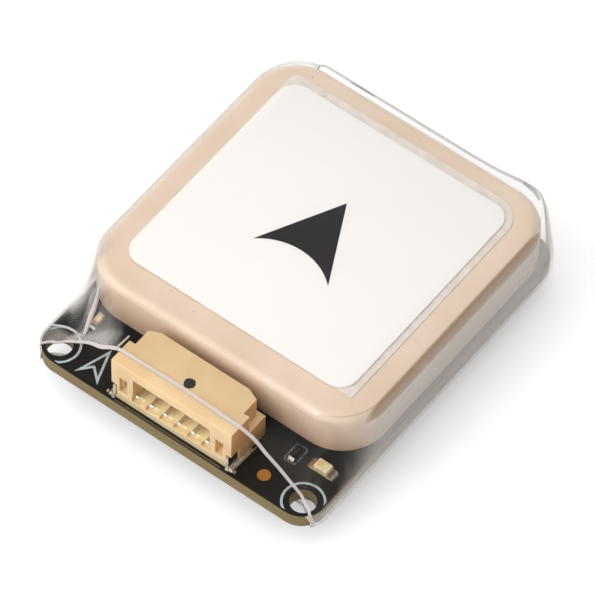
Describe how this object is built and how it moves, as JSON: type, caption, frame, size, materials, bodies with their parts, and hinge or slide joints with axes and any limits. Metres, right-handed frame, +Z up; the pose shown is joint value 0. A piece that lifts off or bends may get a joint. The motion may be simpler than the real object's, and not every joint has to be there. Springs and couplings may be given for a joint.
{
  "type": "gps module",
  "caption": "Satellite positioning module: ceramic patch antenna with a white label on a black circuit board with a side entry socket, in a clear shrink sleeve.",
  "frame": {"origin": "bottom centre of the overall box, on the sleeve's flat underside", "axes": "+X to the right along the connector edge, +Y from the connector edge to the rear, +Z up through the antenna"},
  "size_m": [0.0254, 0.0309, 0.0092],
  "materials": {
    "solder_mask": "satin black solder mask",
    "foam": "matt dark foam tape",
    "fired_silver": "matt fired silver",
    "ceramic": "fine unglazed tan ceramic",
    "label": "smooth white",
    "clear_film": "clear gloss",
    "cream_plastic": "moulded satin cream",
    "tinned": "bright tin plate",
    "solder": "bright solder",
    "led_base": "plain",
    "led_lens": "gloss",
    "resistor": "black top coat",
    "capacitor": "fine tan ceramic",
    "receiver_laminate": "dark green solder mask",
    "shield_steel": "tinned steel sheet",
    "black_package": "moulded black",
    "crystal_lid": "metal lid",
    "filter_body": "white ceramic"
  },
  "bodies": {
    "root": {"circuit_board": "solder_mask", "antenna_foam_tape": "foam", "antenna_ground_plate": "fired_silver", "antenna_ceramic": "ceramic", "antenna_electrode": "fired_silver", "antenna_feed_pin": "tinned", "feed_pin_solder": "solder", "top_label": "label", "heat_shrink_sleeve": "clear_film", "connector_housing": "cream_plastic", "connector_contact_1": "tinned", "connector_contact_2": "tinned", "connector_contact_3": "tinned", "connector_contact_4": "tinned", "connector_contact_5": "tinned", "connector_contact_6": "tinned", "connector_tab_left": "tinned", "connector_tab_right": "tinned", "power_led_base": "led_base", "power_led_lens": "led_lens", "led_resistor": "resistor", "front_capacitor": "capacitor", "receiver_board": "receiver_laminate", "receiver_shield": "shield_steel", "receiver_chip": "black_package", "receiver_crystal": "crystal_lid", "receiver_filter": "filter_body", "backup_cell": "shield_steel", "cell_tab_negative": "tinned", "cell_tab_positive": "tinned", "voltage_regulator": "black_package", "compass_chip": "black_package", "receiver_capacitor_1": "capacitor", "receiver_capacitor_2": "capacitor", "receiver_capacitor_3": "capacitor", "receiver_resistor_1": "resistor", "receiver_resistor_2": "resistor", "receiver_resistor_3": "resistor", "regulator_capacitor_1": "capacitor", "regulator_capacitor_2": "capacitor", "compass_capacitor": "capacitor", "bus_resistor_1": "resistor", "bus_resistor_2": "resistor"}
  },
  "joints": []
}
